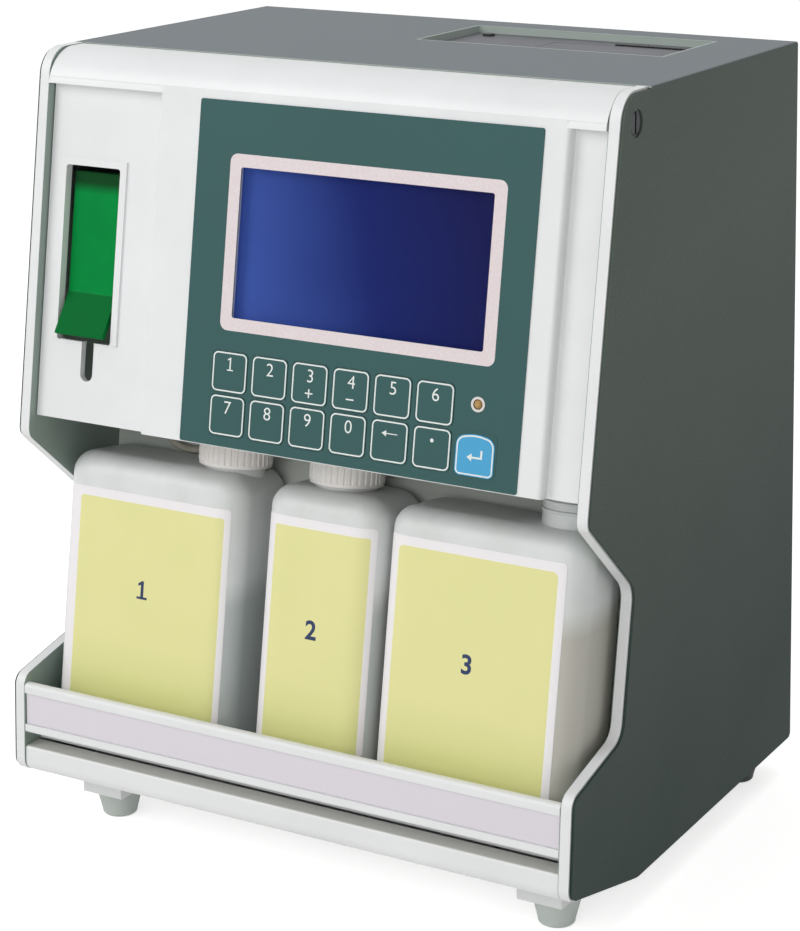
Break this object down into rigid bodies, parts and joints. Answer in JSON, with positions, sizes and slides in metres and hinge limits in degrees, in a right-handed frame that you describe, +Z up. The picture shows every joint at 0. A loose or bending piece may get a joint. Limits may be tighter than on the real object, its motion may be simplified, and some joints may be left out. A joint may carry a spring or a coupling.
{
  "type": "electrolyte analyzer",
  "caption": "Bench-top electrolyte analyzer with a flip-up front, film keypad, display, sampling lever, reagent bottles in a tray and a paper printer in its top.",
  "frame": {"origin": "on the ground, under the middle of the case", "axes": "+Z up, the front with its display faces -Y, +X to the right as the user sees it"},
  "size_m": [0.26, 0.2256, 0.33],
  "materials": {
    "cover": "fine speckled texture",
    "white_moulding": "satin",
    "green_grey_sheet": "satin",
    "rear_sheet": "fine texture",
    "foot_rubber": "matte",
    "steel": "brushed",
    "dark_steel": "blackened",
    "film_teal": "fine matte film",
    "strip_lavender": "matte film",
    "key_teal": "fine matte film",
    "key_blue": "fine matte film",
    "display_glass": "clear",
    "display_metal": "lit display in a metal bezel",
    "circuit_board": "solder mask",
    "amber_lamp": "translucent",
    "lever_green": "gloss",
    "bottle_milk": "translucent satin",
    "label_paper": "matte print",
    "cap_white": "satin",
    "tube_clear": "soft clear tube",
    "pump_grey": "satin",
    "roller_white": "polished",
    "electrode_clear": "clear amber",
    "supply_case": "plated sheet",
    "printer_slate": "matte",
    "platen_rubber": "matte",
    "thermal_paper": "smooth",
    "black_plastic": "satin"
  },
  "bodies": {
    "chassis": {"outer_cover": "cover", "left_cheek": "white_moulding", "right_cheek": "white_moulding", "hinge_screws": "dark_steel", "base_plate": "white_moulding", "rubber_feet": "foot_rubber", "inner_panel": "green_grey_sheet", "rear_panel": "rear_sheet", "power_inlet": "black_plastic", "serial_port": "steel", "power_switch": "black_plastic", "bottle_tray": "white_moulding", "tray_strip": "strip_lavender", "sampler_bracket": "steel", "lever_pin": "steel", "calibrant_bottle": "bottle_milk", "slope_bottle": "bottle_milk", "waste_bottle": "bottle_milk", "calibrant_label": "label_paper", "slope_label": "label_paper", "waste_label": "label_paper", "calibrant_tube": "tube_clear", "slope_tube": "tube_clear", "waste_tube": "tube_clear", "pump_body": "pump_grey", "electrode_rack": "pump_grey", "electrodes": "electrode_clear", "main_board": "circuit_board", "power_supply": "supply_case", "printer_housing": "printer_slate", "paper_roll": "thermal_paper", "cover_screws": "steel"},
    "front_door": {"front_door": "white_moulding", "keypad_overlay": "film_teal", "lcd_window": "display_glass", "lcd_module": "display_metal", "keypad_board": "circuit_board", "status_led": "amber_lamp"},
    "key_1": {"key_1": "key_teal"},
    "key_2": {"key_2": "key_teal"},
    "key_3": {"key_3": "key_teal"},
    "key_4": {"key_4": "key_teal"},
    "key_5": {"key_5": "key_teal"},
    "key_6": {"key_6": "key_teal"},
    "key_7": {"key_7": "key_teal"},
    "key_8": {"key_8": "key_teal"},
    "key_9": {"key_9": "key_teal"},
    "key_0": {"key_0": "key_teal"},
    "key_back": {"key_back": "key_teal"},
    "key_dot": {"key_dot": "key_teal"},
    "key_enter": {"key_enter": "key_blue"},
    "sample_lever": {"sample_lever": "lever_green", "sample_probe": "steel"},
    "pump_rotor": {"pump_rotor": "pump_grey", "pump_rollers": "roller_white"},
    "calibrant_cap": {"calibrant_cap": "cap_white"},
    "slope_cap": {"slope_cap": "cap_white"},
    "printer_door": {"printer_door": "printer_slate"},
    "platen_roller": {"platen_roller": "platen_rubber"},
    "power_rocker": {"power_rocker": "black_plastic"}
  },
  "joints": [
    {"name": "door_hinge", "type": "hinge", "parent": "chassis", "child": "front_door", "pos_m": [0, -0.06877, 0.318], "axis": [-1, 0, 0], "range_deg": [0, 90]},
    {"name": "key_1_press", "type": "slide", "parent": "front_door", "child": "key_1", "axis": [0, 0.989, -0.1478], "range_m": [0, 0.0004], "stiffness_N_per_m": 2500, "springref_m": -0.0002},
    {"name": "key_2_press", "type": "slide", "parent": "front_door", "child": "key_2", "axis": [0, 0.989, -0.1478], "range_m": [0, 0.0004], "stiffness_N_per_m": 2500, "springref_m": -0.0002},
    {"name": "key_3_press", "type": "slide", "parent": "front_door", "child": "key_3", "axis": [0, 0.989, -0.1478], "range_m": [0, 0.0004], "stiffness_N_per_m": 2500, "springref_m": -0.0002},
    {"name": "key_4_press", "type": "slide", "parent": "front_door", "child": "key_4", "axis": [0, 0.989, -0.1478], "range_m": [0, 0.0004], "stiffness_N_per_m": 2500, "springref_m": -0.0002},
    {"name": "key_5_press", "type": "slide", "parent": "front_door", "child": "key_5", "axis": [0, 0.989, -0.1478], "range_m": [0, 0.0004], "stiffness_N_per_m": 2500, "springref_m": -0.0002},
    {"name": "key_6_press", "type": "slide", "parent": "front_door", "child": "key_6", "axis": [0, 0.989, -0.1478], "range_m": [0, 0.0004], "stiffness_N_per_m": 2500, "springref_m": -0.0002},
    {"name": "key_7_press", "type": "slide", "parent": "front_door", "child": "key_7", "axis": [0, 0.989, -0.1478], "range_m": [0, 0.0004], "stiffness_N_per_m": 2500, "springref_m": -0.0002},
    {"name": "key_8_press", "type": "slide", "parent": "front_door", "child": "key_8", "axis": [0, 0.989, -0.1478], "range_m": [0, 0.0004], "stiffness_N_per_m": 2500, "springref_m": -0.0002},
    {"name": "key_9_press", "type": "slide", "parent": "front_door", "child": "key_9", "axis": [0, 0.989, -0.1478], "range_m": [0, 0.0004], "stiffness_N_per_m": 2500, "springref_m": -0.0002},
    {"name": "key_0_press", "type": "slide", "parent": "front_door", "child": "key_0", "axis": [0, 0.989, -0.1478], "range_m": [0, 0.0004], "stiffness_N_per_m": 2500, "springref_m": -0.0002},
    {"name": "key_back_press", "type": "slide", "parent": "front_door", "child": "key_back", "axis": [0, 0.989, -0.1478], "range_m": [0, 0.0004], "stiffness_N_per_m": 2500, "springref_m": -0.0002},
    {"name": "key_dot_press", "type": "slide", "parent": "front_door", "child": "key_dot", "axis": [0, 0.989, -0.1478], "range_m": [0, 0.0004], "stiffness_N_per_m": 2500, "springref_m": -0.0002},
    {"name": "key_enter_press", "type": "slide", "parent": "front_door", "child": "key_enter", "axis": [0, 0.989, -0.1478], "range_m": [0, 0.0004], "stiffness_N_per_m": 2500, "springref_m": -0.0002},
    {"name": "lever_swing", "type": "hinge", "parent": "chassis", "child": "sample_lever", "pos_m": [-0.10225, -0.07299, 0.27627], "axis": [-1, 0, 0], "range_deg": [0, 60]},
    {"name": "pump_spin", "type": "hinge", "parent": "chassis", "child": "pump_rotor", "pos_m": [0.084, -0.04072, 0.23505], "axis": [0, 0.989, -0.1478], "continuous": true},
    {"name": "calibrant_cap_turn", "type": "hinge", "parent": "chassis", "child": "calibrant_cap", "pos_m": [-0.04965, -0.06101, 0.17033], "axis": [0, 0.1478, 0.989], "range_deg": [0, 540]},
    {"name": "slope_cap_turn", "type": "hinge", "parent": "chassis", "child": "slope_cap", "pos_m": [0.0035, -0.06101, 0.17033], "axis": [0, 0.1478, 0.989], "range_deg": [0, 540]},
    {"name": "printer_door_hinge", "type": "hinge", "parent": "chassis", "child": "printer_door", "pos_m": [0.0655, 0.026, 0.3244], "axis": [1, 0, 0], "range_deg": [0, 95]},
    {"name": "platen_spin", "type": "hinge", "parent": "printer_door", "child": "platen_roller", "pos_m": [0.0655, 0.055, 0.3204], "axis": [1, 0, 0], "continuous": true},
    {"name": "power_rocker_tip", "type": "hinge", "parent": "chassis", "child": "power_rocker", "pos_m": [-0.052, 0.10408, 0.05648], "axis": [-1, 0, 0], "range_deg": [0, 10.5]}
  ]
}
